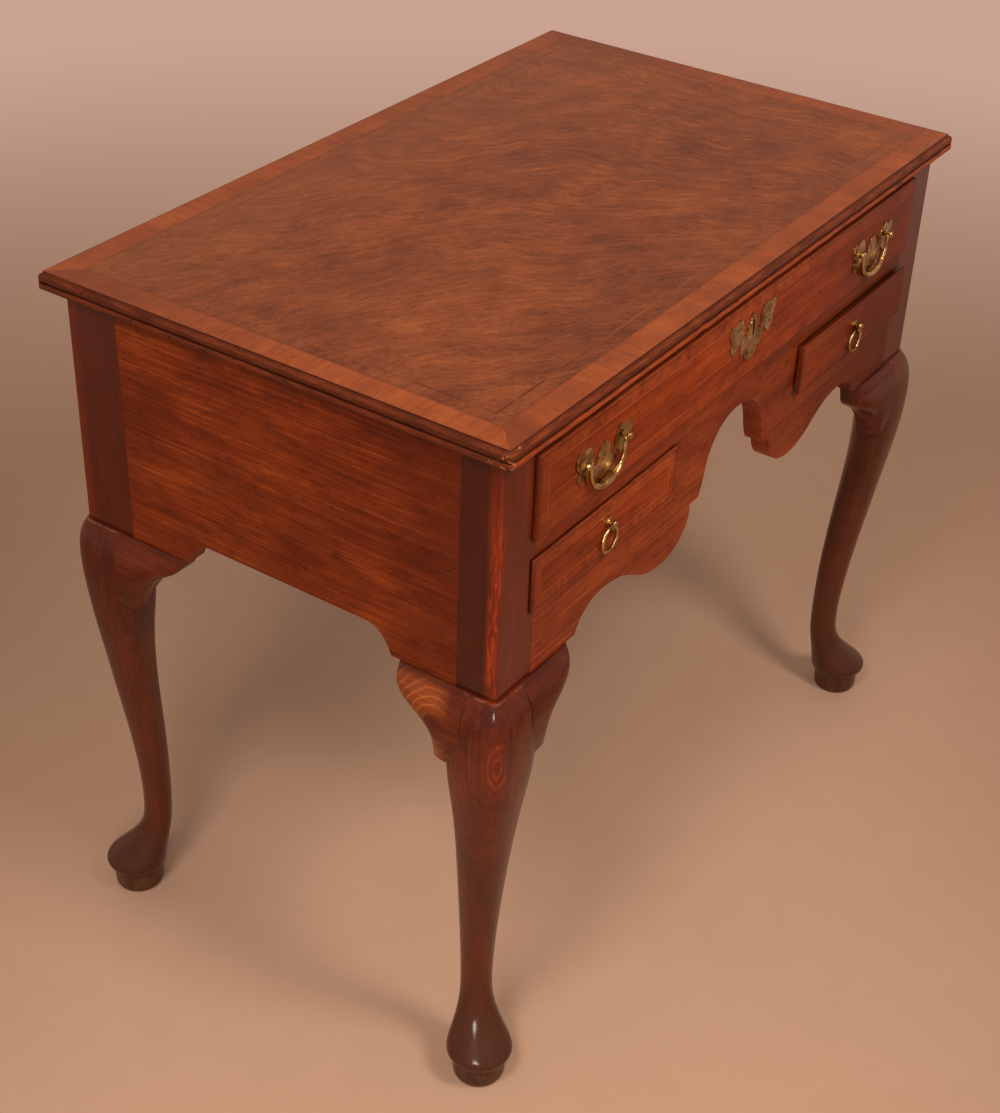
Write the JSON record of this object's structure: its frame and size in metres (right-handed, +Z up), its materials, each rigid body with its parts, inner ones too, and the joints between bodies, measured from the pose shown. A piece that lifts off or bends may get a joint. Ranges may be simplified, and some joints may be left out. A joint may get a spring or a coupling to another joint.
{
  "type": "side table with three drawers",
  "caption": "Oak side table with a long drawer over two small drawers, a shaped apron, brass pulls and cabriole legs on pad feet.",
  "frame": {"origin": "on the floor under the middle of the whole table's bounding box", "axes": "+X runs to the right along the front, +Y from the front to the back, +Z up"},
  "size_m": [0.8218, 0.5058, 0.711],
  "materials": {
    "oak_top": "waxed oak with crossed grain flecks",
    "crossband": "waxed cross-grain veneer",
    "inlay_line": "pale inlaid line",
    "oak_case": "dark waxed oak",
    "oak_fronts": "waxed oak with cross-grain borders",
    "inner_wood": "bare aged softwood",
    "drawer_lining": "bare oak lining",
    "brass": "worn cast brass",
    "iron": "dull old iron"
  },
  "bodies": {
    "carcase": {"top_board": "oak_top", "band_front": "crossband", "band_back": "crossband", "band_left": "crossband", "band_right": "crossband", "top_line": "inlay_line", "leg_front_left": "oak_case", "leg_front_right": "oak_case", "leg_back_left": "oak_case", "leg_back_right": "oak_case", "ear_front_left_face": "oak_case", "ear_front_left_side": "oak_case", "ear_front_right_face": "oak_case", "ear_front_right_side": "oak_case", "ear_back_left_side": "oak_case", "ear_back_right_side": "oak_case", "side_board_left": "oak_case", "side_board_right": "oak_case", "top_rail": "oak_case", "mid_rail": "oak_case", "apron": "oak_case", "back_board": "inner_wood", "long_runner_left": "inner_wood", "long_runner_right": "inner_wood", "outer_runner_left": "inner_wood", "outer_runner_right": "inner_wood", "inner_runner_left": "inner_wood", "inner_runner_right": "inner_wood"},
    "long_drawer": {"long_front": "oak_fronts", "long_side_left": "drawer_lining", "long_side_right": "drawer_lining", "long_back": "drawer_lining", "long_bottom": "drawer_lining", "escutcheon": "brass", "plate_left": "brass", "plate_right": "brass", "post_left_inner": "brass", "post_left_outer": "brass", "post_right_inner": "brass", "post_right_outer": "brass", "lock_case": "iron"},
    "lock_bolt": {"lock_bolt": "iron"},
    "bail_left": {"bail_left": "brass"},
    "bail_right": {"bail_right": "brass"},
    "small_drawer_left": {"small_left_front": "oak_fronts", "small_left_side_left": "drawer_lining", "small_left_side_right": "drawer_lining", "small_left_back": "drawer_lining", "small_left_bottom": "drawer_lining", "stud_left": "brass"},
    "small_drawer_right": {"small_right_front": "oak_fronts", "small_right_side_left": "drawer_lining", "small_right_side_right": "drawer_lining", "small_right_back": "drawer_lining", "small_right_bottom": "drawer_lining", "stud_right": "brass"},
    "ring_left": {"ring_left": "brass"},
    "ring_right": {"ring_right": "brass"}
  },
  "joints": [
    {"name": "long_drawer_slide", "type": "slide", "parent": "carcase", "child": "long_drawer", "axis": [0, -1, 0], "range_m": [0, 0.28]},
    {"name": "lock_bolt_slide", "type": "slide", "parent": "long_drawer", "child": "lock_bolt", "axis": [0, 0, 1], "range_m": [0, 0.008]},
    {"name": "bail_left_swing", "type": "hinge", "parent": "long_drawer", "child": "bail_left", "pos_m": [-0.2505, -0.24167, 0.6407], "axis": [-1, 0, 0], "range_deg": [0, 95]},
    {"name": "bail_right_swing", "type": "hinge", "parent": "long_drawer", "child": "bail_right", "pos_m": [0.2505, -0.24167, 0.6407], "axis": [-1, 0, 0], "range_deg": [0, 95]},
    {"name": "small_drawer_left_slide", "type": "slide", "parent": "carcase", "child": "small_drawer_left", "axis": [0, -1, 0], "range_m": [0, 0.26]},
    {"name": "small_drawer_right_slide", "type": "slide", "parent": "carcase", "child": "small_drawer_right", "axis": [0, -1, 0], "range_m": [-0.004, 0.256]},
    {"name": "ring_left_swing", "type": "hinge", "parent": "small_drawer_left", "child": "ring_left", "pos_m": [-0.2315, -0.23787, 0.5537], "axis": [-1, 0, 0], "range_deg": [0, 100]},
    {"name": "ring_right_swing", "type": "hinge", "parent": "small_drawer_right", "child": "ring_right", "pos_m": [0.2315, -0.24187, 0.5537], "axis": [-1, 0, 0], "range_deg": [0, 100]}
  ]
}
